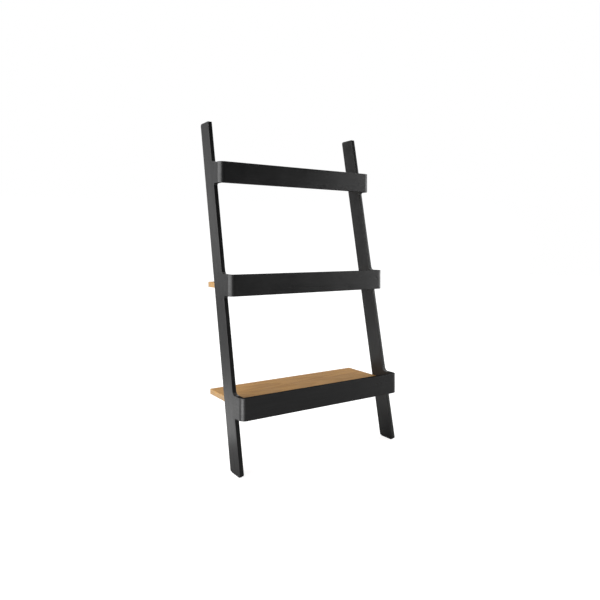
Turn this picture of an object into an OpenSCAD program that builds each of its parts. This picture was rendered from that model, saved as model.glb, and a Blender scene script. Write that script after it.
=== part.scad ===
// Leaning ladder shelf. Two flat posts lean back on a wall and carry three tiers.
// Each tier is a U-shaped front band and an oak board that sits inside it.
// Millimetres. X runs along the wall, Y points to the wall, Z is up.
// The origin is on the floor, midway between the posts and midway in the depth.

/* [Overall] */
// Width over the outside of the posts
frame_w = 700; // [600:5:900]
// Height from the floor to the top of the posts
frame_h = 1250; // [1200:5:1300]
// Angle that the front edges of the posts lean back from upright
lean = 11.9; // [10:0.1:13]

/* [Posts] */
// Thickness of the post boards and of the bands
post_t = 16; // [15:1:20]
// Width of a post at the top, measured level
post_w = 70; // [64:1:84]
// How much wider a post is at the foot than at the top
foot_spread = 3.5; // [0:0.5:6]
// Radius on the sharp corners, at the top back and the foot front
sharp_corner_r = 8; // [3:0.5:9]
// Radius on the blunt corners, at the top front and the foot back
blunt_corner_r = 3; // [1:0.5:4]
// Radius where the top of a nose runs into the post
nose_top_r = 16; // [8:1:18]
// Radius where the underside of a nose runs into the post
nose_under_r = 7; // [3:0.5:8]

/* [Bands] */
// Height of a band
band_h = 77; // [70:1:85]
// How far a band stands ahead of the posts, at the middle of its height
band_reach = 60; // [56:1:70]
// Outside radius of a band's bends
bend_r = 22; // [19:1:24]
// Straight stretch of a band's arm, from its bend to the seam on the nose
arm_straight = 17; // [16:1:18]

/* [Tiers] */
// Height of the top edge of the lowest band
low_band_top = 270; // [230:1:330]
// Height of the top edge of the middle band
middle_band_top = 682; // [640:1:720]
// Height of the top edge of the highest band
high_band_top = 1089; // [1040:1:1120]
// How far the lowest board lies below its band's top edge
low_board_drop = 28; // [22:1:40]
// How far the middle board lies below its band's top edge
middle_board_drop = 36; // [22:1:40]
// How far the highest board lies below its band's top edge
high_board_drop = 34; // [22:1:40]

/* [Boards] */
// Thickness of the boards
board_t = 20; // [18:1:22]
// Depth of the lowest board, from the band to its back edge
low_board_depth = 275; // [240:1:280]
// Depth of the middle board
middle_board_depth = 205; // [180:1:210]
// Depth of the highest board
high_board_depth = 135; // [125:1:140]

/* [Fixings] */
// Diameter of the board dowels
board_dowel_d = 8; // [6:1:8]
// Diameter of the dowels between the bands and the noses
band_dowel_d = 6; // [5:1:6]
// Distance from each end cam to the dowel on either side of it
end_dowel_offset = 20; // [16:1:22]
// Distance of the front cams from the middle of a board
front_cam_x = 190; // [120:5:220]
// Distance of the front dowels from the middle of a board
front_dowel_x = 260; // [240:5:270]
// Distance between the two wall screws
wall_screw_spacing = 500; // [440:10:520]
// Diameter of the hole for a wall screw
wall_hole_d = 6; // [4:0.5:7]

/* [Hidden] */
$fn = 64;

black = [0.10, 0.10, 0.105];
oak = [0.66, 0.50, 0.32];
beech = [0.80, 0.66, 0.46];
zinc = [0.72, 0.73, 0.75];
bright_steel = [0.60, 0.61, 0.63];
tan_plastic = [0.62, 0.48, 0.32];
dark_rubber = [0.07, 0.07, 0.07];

// Tiers are numbered from the floor up.
LOW = 0;
MIDDLE = 1;
HIGH = 2;
TIERS = [LOW, MIDDLE, HIGH];
BAND_TOPS = [low_band_top, middle_band_top, high_band_top];
BOARD_DROPS = [low_board_drop, middle_board_drop, high_board_drop];
BOARD_DEPTHS = [low_board_depth, middle_board_depth, high_board_depth];

// Overshoot that keeps cuts and joins clean
over = 1;
// Straight steps that draw a rounded corner of an outline
arc_steps = 12;
// Radial room in a drilled hole, and spare depth past a dowel's end
hole_room = 0.1;
hole_spare = 0.5;

// Foot pads
pad_t = 3;
pad_inset = 2;
pad_front_gap = 11;
pad_back_gap = 4;
pad_corner_r = 3;

// Wall bumpers, on the back edges near the top
bumper_drop = 18;
bumper_r = 6;
bumper_face_r = 4.5;
bumper_base_t = 1.5;
bumper_t = 2.5;

// Where the posts stand: the depth is centred on the origin.
rise = tan(lean);
low_band_mid = low_band_top - band_h / 2;
raw_front = low_band_mid * rise - post_w - band_reach;
bumper_z = frame_h - bumper_drop;
back_lean = atan(rise - foot_spread / frame_h);
raw_back = bumper_z * rise + spread_at(bumper_z);
raw_wall = raw_back + bumper_t * cos(back_lean) + bumper_face_r * sin(back_lean);
foot_y = -(raw_front + raw_wall) / 2;
wall_y = raw_wall + foot_y;

half_w = frame_w / 2;
inner_x = half_w - post_t;

// Back and front edges of the posts at a height, and how far the back one spreads there
function spread_at(z) = foot_spread * (1 - z / frame_h);
function back_edge(z) = foot_y + z * rise + spread_at(z);
function front_edge(z) = foot_y + z * rise - post_w;

// Places on one tier
function band_mid(i) = BAND_TOPS[i] - band_h / 2;
function band_front(i) = front_edge(band_mid(i)) - band_reach;
function seam_y(i) = band_front(i) + bend_r + arm_straight;
function board_front(i) = band_front(i) + post_t;
function board_back(i) = board_front(i) + BOARD_DEPTHS[i];
function board_under(i) = BAND_TOPS[i] - BOARD_DROPS[i] - board_t;
function board_mid(i) = board_under(i) + board_t / 2;
function end_cam_y(i) = front_edge(board_mid(i)) + post_w / 2;

// Front corners of the boards clear the inside of the bends by a little.
board_corner_r = bend_r - post_t + 2;

// Board dowels: short end in the post or band, long end in the board
board_dowel_short = 10;
board_dowel_long = 20;
// Band dowels: the same length each side of the seam
band_dowel_half = 15;
band_dowel_z = 20;
dowel_chamfer = 0.8;

// Cam bolts: thread in the post or band, head in the cam lock
cam_reach = 24;
bolt_thread_l = 11;
bolt_thread_r = 2.5;
bolt_core_r = 2.1;
bolt_pitches = 7;
bolt_collar_r = 3.6;
bolt_collar_l = 2.5;
bolt_shank_r = 2.6;
bolt_neck_r = 1.6;
bolt_neck_l = 3;
bolt_head_r = 3;
bolt_head_l = 3;
bolt_bore_r = 4;

// Cam locks, in pockets drilled from under the board
cam_pocket_r = 7.5;
cam_pocket_depth = 15;
cam_r = 7.3;
cam_bottom = 1.2;
cam_top = 14.6;
cam_channel_r = 3.3;
cam_cross_l = 8;
cam_cross_w = 1.8;
cam_cross_depth = 3;

// Cam caps, pressed into the mouth of each pocket
cap_r = 8.5;
cap_t = 0.8;
cap_plug_r = 7.4;
cap_plug_l = 1;

// Wall brackets, under the back edge of the top board
bracket_w = 20;
bracket_t = 2;
bracket_lap = 32;
bracket_hole_rise = 14;
bracket_hole_margin = 10;
bracket_bend_r = 3.5;
bracket_screw_front = 24;
bracket_screw_back = 9;
bracket_screw_hole_r = 2.1;
wall_hole_z = board_under(HIGH) + board_t + bracket_hole_rise;

// Bracket screws
screw_r = 1.75;
screw_core_r = 1.4;
screw_l = 14;
screw_thread_l = 10;
screw_pitches = 7;
screw_point_l = 2;
screw_head_r = 3.4;
screw_head_t = 2;
screw_cross_l = 4;
screw_cross_w = 0.9;
screw_cross_depth = 1.2;

// ---- Shared shapes ----

// Points of the arc that rounds the corner at p, between the points before and after it.
// It touches both sides of the corner, full or hollow. A radius of 0 keeps the corner.
function unit(v) = v / norm(v);
function round_corner(before, p, after, r) =
    r == 0 ? [p] :
    let (
        u = unit(before - p),
        v = unit(after - p),
        half = acos(u * v) / 2,
        centre = p + unit(u + v) * r / sin(half),
        start = p + u * r / tan(half) - centre,
        first = atan2(start[1], start[0]),
        turn = -sign(cross(u, v)) * (180 - 2 * half)
    )
    [
        for (n = [0:arc_steps])
            let (a = first + turn * n / arc_steps)
            centre + r * [cos(a), sin(a)]
    ];

function place(corner) = [corner[0], corner[1]];

// Outline with each corner rounded: corners go anticlockwise and are [y, z, radius].
function rounded(corners) =
    let (count = len(corners))
    [
        for (n = [0:count - 1])
            each round_corner(
                place(corners[(n + count - 1) % count]),
                place(corners[n]),
                place(corners[(n + 1) % count]),
                corners[n][2]
            )
    ];

// Stands a drawing of depth and height upright and gives it a width along X.
module upright(x, w) {
    translate([x, 0, 0])
        rotate([90, 0, 90])
            linear_extrude(w)
                children();
}

// Turns a shape that points up so that it points to the wall, or to the right.
module to_wall() {
    rotate([-90, 0, 0]) children();
}
module to_right() {
    rotate([0, 90, 0]) children();
}

// Shape and its mirror image on the other side
module both_sides() {
    children();
    mirror([1, 0, 0]) children();
}

// Plan of a block with rounded front corners, its front edge on y = 0
module front_rounded(w, d, r) {
    translate([-w / 2, r]) square([w, d - r]);
    translate([-w / 2 + r, 0]) square([w - 2 * r, r + over]);
    for (x = [-w / 2 + r, w / 2 - r]) {
        translate([x, r]) circle(r);
    }
}

// Runs its children at each dowel and each cam of one tier's board.
// They point into the board, from the post's inner face or the band's inside.
module at_end_dowels(i) {
    for (y = [-end_dowel_offset, end_dowel_offset]) {
        both_sides()
            translate([-inner_x, end_cam_y(i) + y, board_mid(i)])
                to_right() children();
    }
}
module at_front_dowels(i) {
    both_sides()
        translate([front_dowel_x, board_front(i), board_mid(i)])
            to_wall() children();
}
module at_end_cams(i) {
    both_sides()
        translate([-inner_x, end_cam_y(i), board_mid(i)])
            to_right() children();
}
module at_front_cams(i) {
    both_sides()
        translate([front_cam_x, board_front(i), board_mid(i)])
            to_wall() children();
}
// At the dowels between a band's arms and the noses, pointing to the wall
module at_band_dowels(i) {
    for (z = [-band_dowel_z, band_dowel_z]) {
        both_sides()
            translate([half_w - post_t / 2, seam_y(i), band_mid(i) + z])
                to_wall() children();
    }
}
// At each cam lock, on the underside of the board and pointing up
module at_cam_locks(i) {
    both_sides()
        translate([inner_x - cam_reach, end_cam_y(i), board_under(i)])
            rotate([0, 0, 180]) children();
    both_sides()
        translate([front_cam_x, board_front(i) + cam_reach, board_under(i)])
            rotate([0, 0, -90]) mirror([1, 0, 0]) children();
}

// A hole drilled to a depth below its mouth, and as far above it as asked
module drilled(r, depth, above = over) {
    translate([0, 0, -depth]) cylinder(r = r, h = depth + above);
}

// ---- Posts ----

// Corners of the nose on one tier, from the top down
function nose_corners(i) =
    let (
        top = BAND_TOPS[i],
        bottom = top - band_h
    )
    [
        [front_edge(top), top, nose_top_r],
        [seam_y(i), top, 0],
        [seam_y(i), bottom, 0],
        [front_edge(bottom), bottom, nose_under_r]
    ];

module post_outline() {
    polygon(rounded([
        [front_edge(pad_t), pad_t, sharp_corner_r],
        [back_edge(pad_t), pad_t, blunt_corner_r],
        [back_edge(frame_h), frame_h, sharp_corner_r],
        [front_edge(frame_h), frame_h, blunt_corner_r],
        each nose_corners(HIGH),
        each nose_corners(MIDDLE),
        each nose_corners(LOW)
    ]));
}

// The post holes are drilled from the inner face, and from the seam on each nose.
module post_holes() {
    for (i = TIERS) {
        at_end_dowels(i) drilled(board_dowel_d / 2 + hole_room, board_dowel_short + hole_spare);
        at_end_cams(i) drilled(bolt_thread_r + hole_room, bolt_thread_l + hole_spare);
        at_band_dowels(i)
            mirror([0, 0, 1])
                drilled(band_dowel_d / 2 + hole_room, band_dowel_half + hole_spare);
    }
}

module left_post() {
    color(black)
        difference() {
            upright(-half_w, post_t) post_outline();
            post_holes();
        }
}

module right_post() {
    color(black)
        difference() {
            upright(inner_x, post_t) post_outline();
            post_holes();
        }
}

// ---- Bands ----

module band(i) {
    arm_l = bend_r + arm_straight;
    color(black)
        difference() {
            translate([0, band_front(i), BAND_TOPS[i] - band_h])
                linear_extrude(band_h)
                    difference() {
                        front_rounded(frame_w, arm_l, bend_r);
                        translate([0, post_t])
                            front_rounded(frame_w - 2 * post_t, arm_l, bend_r - post_t);
                    }
            at_band_dowels(i) drilled(band_dowel_d / 2 + hole_room, band_dowel_half + hole_spare);
            at_front_dowels(i) drilled(board_dowel_d / 2 + hole_room, board_dowel_short + hole_spare);
            at_front_cams(i) drilled(bolt_thread_r + hole_room, bolt_thread_l + hole_spare);
        }
}

module top_band() { band(HIGH); }
module middle_band() { band(MIDDLE); }
module bottom_band() { band(LOW); }

// ---- Boards ----

module board_blank(i) {
    translate([0, board_front(i), board_under(i)])
        linear_extrude(board_t)
            front_rounded(2 * inner_x, BOARD_DEPTHS[i], board_corner_r);
}

module board_holes(i) {
    long_hole = board_dowel_long + hole_spare;
    at_end_dowels(i) mirror([0, 0, 1]) drilled(board_dowel_d / 2 + hole_room, long_hole);
    at_front_dowels(i) mirror([0, 0, 1]) drilled(board_dowel_d / 2 + hole_room, long_hole);
    at_end_cams(i) mirror([0, 0, 1]) drilled(bolt_bore_r, cam_reach);
    at_front_cams(i) mirror([0, 0, 1]) drilled(bolt_bore_r, cam_reach);
    at_cam_locks(i) mirror([0, 0, 1]) drilled(cam_pocket_r, cam_pocket_depth);
}

module board(i) {
    color(oak)
        difference() {
            board_blank(i);
            board_holes(i);
        }
}

module top_shelf() {
    color(oak)
        difference() {
            board_blank(HIGH);
            board_holes(HIGH);
            at_bracket_screws() mirror([0, 0, 1]) drilled(screw_r + hole_room, screw_l);
        }
}
module middle_shelf() { board(MIDDLE); }
module bottom_shelf() { board(LOW); }

// ---- Dowels ----

// A dowel that reaches below and above its middle mark, with chamfered ends
module dowel(d, below, above) {
    r = d / 2;
    tip_r = r - dowel_chamfer;
    translate([0, 0, -below]) cylinder(r1 = tip_r, r2 = r, h = dowel_chamfer);
    translate([0, 0, dowel_chamfer - below]) cylinder(r = r, h = below + above - 2 * dowel_chamfer);
    translate([0, 0, above - dowel_chamfer]) cylinder(r1 = r, r2 = tip_r, h = dowel_chamfer);
}

module band_dowels(i) {
    color(beech) at_band_dowels(i) dowel(band_dowel_d, band_dowel_half, band_dowel_half);
}

module board_dowels(i) {
    color(beech) {
        at_end_dowels(i) dowel(board_dowel_d, board_dowel_short, board_dowel_long);
        at_front_dowels(i) dowel(board_dowel_d, board_dowel_short, board_dowel_long);
    }
}

module top_band_dowels() { band_dowels(HIGH); }
module middle_band_dowels() { band_dowels(MIDDLE); }
module bottom_band_dowels() { band_dowels(LOW); }
module top_shelf_dowels() { board_dowels(HIGH); }
module middle_shelf_dowels() { board_dowels(MIDDLE); }
module bottom_shelf_dowels() { board_dowels(LOW); }

// ---- Cam bolts, locks and caps ----

// Ridges of a thread, one cone per pitch, going up from z = 0
module ridges(length, pitches, crest_r, root_r) {
    pitch = length / pitches;
    for (n = [0:pitches - 1]) {
        translate([0, 0, n * pitch]) cylinder(r1 = root_r, r2 = crest_r, h = pitch);
    }
}

module cam_bolt() {
    head_z = cam_reach - bolt_head_l / 2;
    translate([0, 0, -bolt_thread_l]) ridges(bolt_thread_l, bolt_pitches, bolt_thread_r, bolt_core_r);
    cylinder(r = bolt_collar_r, h = bolt_collar_l);
    cylinder(r = bolt_shank_r, h = head_z - bolt_neck_l);
    cylinder(r = bolt_neck_r, h = head_z + over);
    translate([0, 0, head_z]) cylinder(r = bolt_head_r, h = bolt_head_l);
}

module cam_lock() {
    color(zinc)
        difference() {
            translate([0, 0, cam_bottom]) cylinder(r = cam_r, h = cam_top - cam_bottom);
            translate([-cam_channel_r / 2, 0, board_t / 2])
                to_right() cylinder(r = cam_channel_r, h = cam_r + cam_channel_r);
            for (turn = [45, 135]) {
                rotate([0, 0, turn])
                    translate([-cam_cross_l / 2, -cam_cross_w / 2, 0])
                        cube([cam_cross_l, cam_cross_w, cam_bottom + cam_cross_depth]);
            }
        }
}

module cam_cap() {
    color(tan_plastic) {
        translate([0, 0, -cap_t]) cylinder(r = cap_r, h = cap_t);
        cylinder(r = cap_plug_r, h = cap_plug_l);
    }
}

module cam_bolts(i) {
    color(bright_steel) {
        at_end_cams(i) cam_bolt();
        at_front_cams(i) cam_bolt();
    }
}
module cam_locks(i) {
    at_cam_locks(i) cam_lock();
}
module cam_caps(i) {
    at_cam_locks(i) cam_cap();
}

module top_cam_bolts() { cam_bolts(HIGH); }
module middle_cam_bolts() { cam_bolts(MIDDLE); }
module bottom_cam_bolts() { cam_bolts(LOW); }
module top_cam_locks() { cam_locks(HIGH); }
module middle_cam_locks() { cam_locks(MIDDLE); }
module bottom_cam_locks() { cam_locks(LOW); }
module top_cam_caps() { cam_caps(HIGH); }
module middle_cam_caps() { cam_caps(MIDDLE); }
module bottom_cam_caps() { cam_caps(LOW); }

// ---- Foot pads and wall bumpers ----

module foot_pad(x) {
    w = post_t - 2 * pad_inset;
    front = front_edge(pad_t) + pad_front_gap;
    l = back_edge(pad_t) - pad_back_gap - front;
    color(dark_rubber)
        translate([x + pad_inset, front, 0])
            linear_extrude(pad_t) {
                translate([pad_corner_r, 0]) square([w - 2 * pad_corner_r, l]);
                translate([0, pad_corner_r]) square([w, l - 2 * pad_corner_r]);
                for (px = [pad_corner_r, w - pad_corner_r], py = [pad_corner_r, l - pad_corner_r]) {
                    translate([px, py]) circle(pad_corner_r);
                }
            }
}

module wall_bumper(x) {
    color(dark_rubber)
        translate([x + post_t / 2, back_edge(bumper_z), bumper_z])
            rotate([-90 - back_lean, 0, 0]) {
                cylinder(r = bumper_r, h = bumper_base_t);
                translate([0, 0, bumper_base_t])
                    cylinder(r1 = bumper_r, r2 = bumper_face_r, h = bumper_t - bumper_base_t);
            }
}

module left_foot_pad() { foot_pad(-half_w); }
module right_foot_pad() { foot_pad(inner_x); }
module left_wall_bumper() { wall_bumper(-half_w); }
module right_wall_bumper() { wall_bumper(inner_x); }

// ---- Wall brackets ----

// Runs its children at the two screws of each bracket, pointing up into the board.
module at_bracket_screws() {
    for (back = [bracket_screw_back, bracket_screw_front]) {
        both_sides()
            translate([wall_screw_spacing / 2, board_back(HIGH) - back, board_under(HIGH)])
                children();
    }
}

module bracket_profile() {
    under = board_under(HIGH);
    front = board_back(HIGH) - bracket_lap;
    top = wall_hole_z + bracket_hole_margin;
    polygon(rounded([
        [front, under - bracket_t, 0],
        [wall_y, under - bracket_t, bracket_bend_r],
        [wall_y, top, 0],
        [wall_y - bracket_t, top, 0],
        [wall_y - bracket_t, under, bracket_bend_r - bracket_t],
        [front, under, 0]
    ]));
}

module wall_bracket(x) {
    color(black)
        difference() {
            upright(x - bracket_w / 2, bracket_w) bracket_profile();
            translate([x, wall_y - bracket_t - over, wall_hole_z])
                to_wall() cylinder(r = wall_hole_d / 2, h = bracket_t + 2 * over);
            at_bracket_screws()
                translate([0, 0, -bracket_t - over])
                    cylinder(r = bracket_screw_hole_r, h = bracket_t + 2 * over);
        }
}

module left_wall_bracket() { wall_bracket(-wall_screw_spacing / 2); }
module right_wall_bracket() { wall_bracket(wall_screw_spacing / 2); }

module bracket_screw() {
    plain_l = screw_l - screw_thread_l - screw_point_l;
    difference() {
        union() {
            translate([0, 0, -bracket_t - screw_head_t]) cylinder(r = screw_head_r, h = screw_head_t);
            translate([0, 0, -bracket_t]) cylinder(r = screw_r, h = bracket_t + plain_l);
            cylinder(r = screw_core_r, h = screw_l - screw_point_l);
            translate([0, 0, plain_l]) ridges(screw_thread_l, screw_pitches, screw_r, screw_core_r);
            translate([0, 0, screw_l - screw_point_l])
                cylinder(r1 = screw_core_r, r2 = 0, h = screw_point_l);
        }
        for (turn = [0, 90]) {
            rotate([0, 0, turn])
                translate([-screw_cross_l / 2, -screw_cross_w / 2, -bracket_t - screw_head_t - over])
                    cube([screw_cross_l, screw_cross_w, screw_cross_depth + over]);
        }
    }
}

module bracket_screws() {
    color(zinc) at_bracket_screws() bracket_screw();
}

left_post();
right_post();
top_band();
middle_band();
bottom_band();
top_shelf();
middle_shelf();
bottom_shelf();
top_band_dowels();
middle_band_dowels();
bottom_band_dowels();
top_shelf_dowels();
middle_shelf_dowels();
bottom_shelf_dowels();
top_cam_bolts();
middle_cam_bolts();
bottom_cam_bolts();
top_cam_locks();
middle_cam_locks();
bottom_cam_locks();
top_cam_caps();
middle_cam_caps();
bottom_cam_caps();
left_foot_pad();
right_foot_pad();
left_wall_bumper();
right_wall_bumper();
left_wall_bracket();
right_wall_bracket();
bracket_screws();
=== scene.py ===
"""Leaning ladder shelf: eased black posts and bands with oak boards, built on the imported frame.

Every size is in metres. X runs along the wall, Y points to the wall and Z is up.
Each new piece stands in for the CAD node of the same kind and takes its place from that node.
"""

import math

import bpy
import numpy as np
from bpy.props import FloatProperty, FloatVectorProperty, PointerProperty
from bpy.types import Operator, Panel, PropertyGroup
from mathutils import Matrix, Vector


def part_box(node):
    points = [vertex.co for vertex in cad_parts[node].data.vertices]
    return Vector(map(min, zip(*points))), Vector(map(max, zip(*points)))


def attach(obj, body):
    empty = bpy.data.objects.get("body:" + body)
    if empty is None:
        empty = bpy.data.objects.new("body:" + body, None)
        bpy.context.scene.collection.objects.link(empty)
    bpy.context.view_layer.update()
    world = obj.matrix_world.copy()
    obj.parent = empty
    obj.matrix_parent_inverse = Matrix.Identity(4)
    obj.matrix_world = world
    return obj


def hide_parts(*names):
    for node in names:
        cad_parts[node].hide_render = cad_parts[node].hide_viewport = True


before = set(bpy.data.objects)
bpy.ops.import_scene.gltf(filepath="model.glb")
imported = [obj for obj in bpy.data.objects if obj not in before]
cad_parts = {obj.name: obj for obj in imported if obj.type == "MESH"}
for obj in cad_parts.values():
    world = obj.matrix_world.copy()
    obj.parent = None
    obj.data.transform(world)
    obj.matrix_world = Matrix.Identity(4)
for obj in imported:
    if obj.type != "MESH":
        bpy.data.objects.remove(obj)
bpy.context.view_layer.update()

bl_info = {
    "name": "Ladder shelf",
    "version": (1, 0, 0),
    "blender": (4, 5, 0),
    "location": "3D View > Sidebar > Shelf",
    "description": "Makes a leaning ladder shelf with bent bands, oak boards and a plain studio",
    "category": "Add Mesh",
}

BODY = "root"
TIERS = ("top", "middle", "bottom")
SIDES = ("left", "right")

# Steps round a corner or bend, and across an eased edge
CORNER_STEPS = 12
BEND_STEPS = 24
EASE_STEPS = 5
# Straight run kept beside every rounded stretch, so that flat faces shade flat
SUPPORT = 0.0008
# Share of a corner's radius that is kept however far its sides move in
LEAST_RADIUS = 0.1
# Radius on the back corners of a board, as a multiple of its ease
BACK_CORNER = 1.2
# How far a band's edge finish reaches round its eased edge, as a share of the ease
CUT_REACH = 0.3
# Metres of wood between one piece's grain and the next one's, so that no two look alike
PLY_STEP = 3.0
BOARD_STEP = 1.7
# Where the bands' grain starts, clear of the posts'
BAND_START = 10.0

# Softboxes: where each one stands, the point it faces, and its width and height
SOFTBOXES = {
    "key": ((-2.5, 0.0, 1.15), (0.0, 0.0, 0.8), (3.5, 2.2)),
    "fill": ((2.6, -1.0, 1.0), (0.0, 0.0, 0.6), (2.0, 2.0)),
    "bounce": ((-1.15, -0.5, 0.01), (-1.15, -0.5, 1.0), (0.6, 0.9)),
    "rear_bounce": ((-0.80, 0.55, 0.01), (-0.80, 0.55, 1.0), (0.8, 1.3)),
}
# Width of the camera's sensor, in millimetres
SENSOR = 36.0
WHITE = (1.0, 1.0, 1.0, 1.0)


# ---- Sizes and colours that can be changed ----


def length(name, description, default):
    """A size in metres that can't go below zero."""
    return FloatProperty(
        name=name, description=description, default=default, min=0.0,
        precision=4, subtype="DISTANCE", unit="LENGTH",
    )


def angle(name, description, degrees):
    """An angle, given in degrees."""
    return FloatProperty(
        name=name, description=description, default=math.radians(degrees),
        subtype="ANGLE", unit="ROTATION",
    )


def share(name, description, default):
    """A share between 0 and 1."""
    return FloatProperty(
        name=name, description=description, default=default, min=0.0, max=1.0, subtype="FACTOR"
    )


def colour(name, description, default):
    """A linear colour."""
    return FloatVectorProperty(
        name=name, description=description, default=default, size=3,
        min=0.0, max=1.0, subtype="COLOR",
    )


def glow(name, description, default):
    """A brightness, where 1 is white, or a share of one."""
    return FloatProperty(name=name, description=description, default=default, min=0.0)


def power(name, description, default):
    """The power of a softbox, in watts."""
    return FloatProperty(
        name=name, description=description, default=default, min=0.0, unit="POWER"
    )


class ShelfShape(PropertyGroup):
    """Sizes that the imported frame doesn't give by itself."""

    lean: angle("Lean", "Angle that the front edges of the posts lean back from upright", 11.9)
    post_width: length("Post width", "Width of a post at the top, measured level", 0.070)
    foot_spread: length("Foot spread", "How much wider a post is at the floor", 0.0035)
    pad_gap: length("Pad gap", "Gap from a foot pad to the back edge of its post", 0.004)
    sharp_corner: length("Sharp corner", "Radius at the top back and the foot front", 0.008)
    blunt_corner: length("Blunt corner", "Radius at the top front and the foot back", 0.003)
    nose_top: length("Nose top", "Radius where the top of a nose runs into the post", 0.016)
    nose_under: length("Nose under", "Radius where a nose's underside runs into the post", 0.007)
    bend: length("Bend", "Outside radius of a band's bends", 0.022)
    ease: length("Eased edge", "Radius on the long edges of the posts and bands", 0.0011)
    seam_ease: length("Seam ease", "How far the edges at the seams are broken", 0.0002)
    board_corner: length("Board corner", "Radius on the front corners of a board", 0.008)
    board_ease: length("Board edge", "Radius on the edges of a board", 0.0010)


class ShelfFinish(PropertyGroup):
    """Colours and sheen of the finishes."""

    black_deep: colour("Black, deep", "Stain down in the grain", (0.0012, 0.0012, 0.0013))
    black_high: colour("Black, high", "Stain on the crests of the grain", (0.0052, 0.0052, 0.0054))
    black_worn: colour("Black, worn", "Where the eased edges are rubbed", (0.0180, 0.0175, 0.0170))
    black_sheen: share("Black roughness", "Roughness of the black lacquer", 0.34)
    edge_sheen: share("Edge roughness", "Roughness of the matt paint on the bands' edges", 0.60)
    oak_light: colour("Oak, light", "Early wood between the rings", (0.348, 0.186, 0.048))
    oak_dark: colour("Oak, dark", "Late wood in the rings", (0.180, 0.083, 0.019))
    oak_pore: colour("Oak, pores", "Open pores", (0.115, 0.058, 0.021))
    # Oak ends: a paler, whiter colour that is painted light. It stands in for the lamps lighting
    # the end faces and for their grazing sheen.
    oak_end_painted_light: colour("Oak, ends", "End grain, where the oil dries paler", (0.198, 0.156, 0.110))
    oak_sheen: share("Oak roughness", "Roughness of the matt oil", 0.62)
    beech_light: colour("Beech", "Dowels", (0.560, 0.380, 0.200))
    beech_dark: colour("Beech flecks", "Flecks in the dowels", (0.400, 0.240, 0.110))
    steel: colour("Steel", "Cam bolts", (0.560, 0.570, 0.580))
    zinc: colour("Zinc", "Cam locks and screws", (0.480, 0.490, 0.510))
    cap: colour("Caps", "Plastic caps over the cam locks", (0.350, 0.215, 0.095))
    rubber: colour("Rubber", "Foot pads and bumpers", (0.016, 0.016, 0.017))
    bracket: colour("Bracket black", "Powder coat on the wall brackets", (0.014, 0.014, 0.015))


class ShelfStudio(PropertyGroup):
    """Camera, floor and light."""

    eye: FloatVectorProperty(
        name="Camera place", description="Where the camera stands",
        default=(-1.2078, -1.8348, 0.7821), size=3, precision=4,
        subtype="TRANSLATION", unit="LENGTH",
    )
    heading: angle("Heading", "How far the camera turns right of square to the wall", 33.254)
    lens: FloatProperty(name="Lens", description="Focal length", default=33.476, unit="CAMERA")
    drop: FloatProperty(name="Shift", description="Vertical shift of the picture", default=-0.0901)
    floor_colour: colour("Floor", "Pale floor", (0.32, 0.32, 0.32))
    floor_radius: length("Floor radius", "Reach of the floor", 14.0)
    back_glow: glow("Back glow", "Brightness of the room behind the shelf", 1.12)
    side_glow: glow("Side glow", "Brightness of the room at the sides", 0.23)
    front_glow: glow("Front glow", "Brightness of the room before the shelf", 0.24)
    roof_glow: glow("Roof glow", "Share left high up before the shelf", 0.08)
    high_glow: glow("High glow", "Share left above eye level all round", 0.38)
    sky_glow: glow("Sky glow", "Brightness overhead and high up behind", 2.2)
    floor_glow: glow("Floor glow", "Light added to the floor that is seen", 0.86)
    key: power("Key light", "Softbox at the left", 114.0)
    fill: power("Fill light", "Softbox at the right", 46.0)
    bounce: power("Bounce light", "Card on the floor at the left", 15.0)
    rear_bounce: power("Rear bounce", "Card on the floor behind, at the left", 3.1)


# ---- Outlines and surfaces ----


def cross(a, b):
    """The cross product of flat vectors: a's x times b's y, less a's y times b's x."""
    return a[..., 0] * b[..., 1] - a[..., 1] * b[..., 0]


def unit(v):
    """Each vector divided by its own length."""
    return v / np.linalg.norm(v, axis=-1, keepdims=True)


def moved_in(corners, eases, w):
    """Corners of a closed outline after each side has moved in by w times its own ease.

    With a and b the inward normals of the two sides that meet at a corner, and p and q how far
    they move in, the corner moves by (p turned-b less q turned-a) over a cross b, where a turned
    vector has its parts swapped and the second one's sign changed.
    """
    along = unit(np.roll(corners, -1, axis=0) - corners)
    b = np.stack([-along[:, 1], along[:, 0]], axis=-1)
    a = np.roll(b, 1, axis=0)
    q = w * eases[:, None]
    p = np.roll(q, 1, axis=0)
    turned_a = np.stack([a[:, 1], -a[:, 0]], axis=-1)
    turned_b = np.stack([b[:, 1], -b[:, 0]], axis=-1)
    return corners + (p * turned_b - q * turned_a) / cross(a, b)[:, None]


def rounded(corners, radii, steps=CORNER_STEPS):
    """A closed outline with an arc at each corner, as one row of points.

    With u and v the unit vectors from a corner to its neighbours and h half the angle between
    them, the arc's centre lies r / sin h from the corner along u + v. The arc starts r / tan h
    from the corner along u and turns through 180 degrees less 2 h. A support point lies on each
    side, a little further along u and v.
    """
    u = unit(np.roll(corners, 1, axis=0) - corners)
    v = unit(np.roll(corners, -1, axis=0) - corners)
    half = np.arccos(np.clip((u * v).sum(-1), -1.0, 1.0)) / 2
    r = radii[:, None]
    centre = corners + unit(u + v) * r / np.sin(half)[:, None]
    start = corners + u * r / np.tan(half)[:, None]
    end = corners + v * r / np.tan(half)[:, None]
    first = np.arctan2(*(start - centre).T[::-1])
    turn = -np.sign(cross(u, v)) * (math.pi - 2 * half)
    a = first[:, None] + turn[:, None] * np.linspace(0.0, 1.0, steps + 1)
    arc = centre[:, None] + r[:, None] * np.stack([np.cos(a), np.sin(a)], axis=-1)
    before = (start + u * SUPPORT)[:, None]
    after = (end + v * SUPPORT)[:, None]
    return np.concatenate([before, arc, after], axis=1).reshape(-1, 2)


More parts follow.
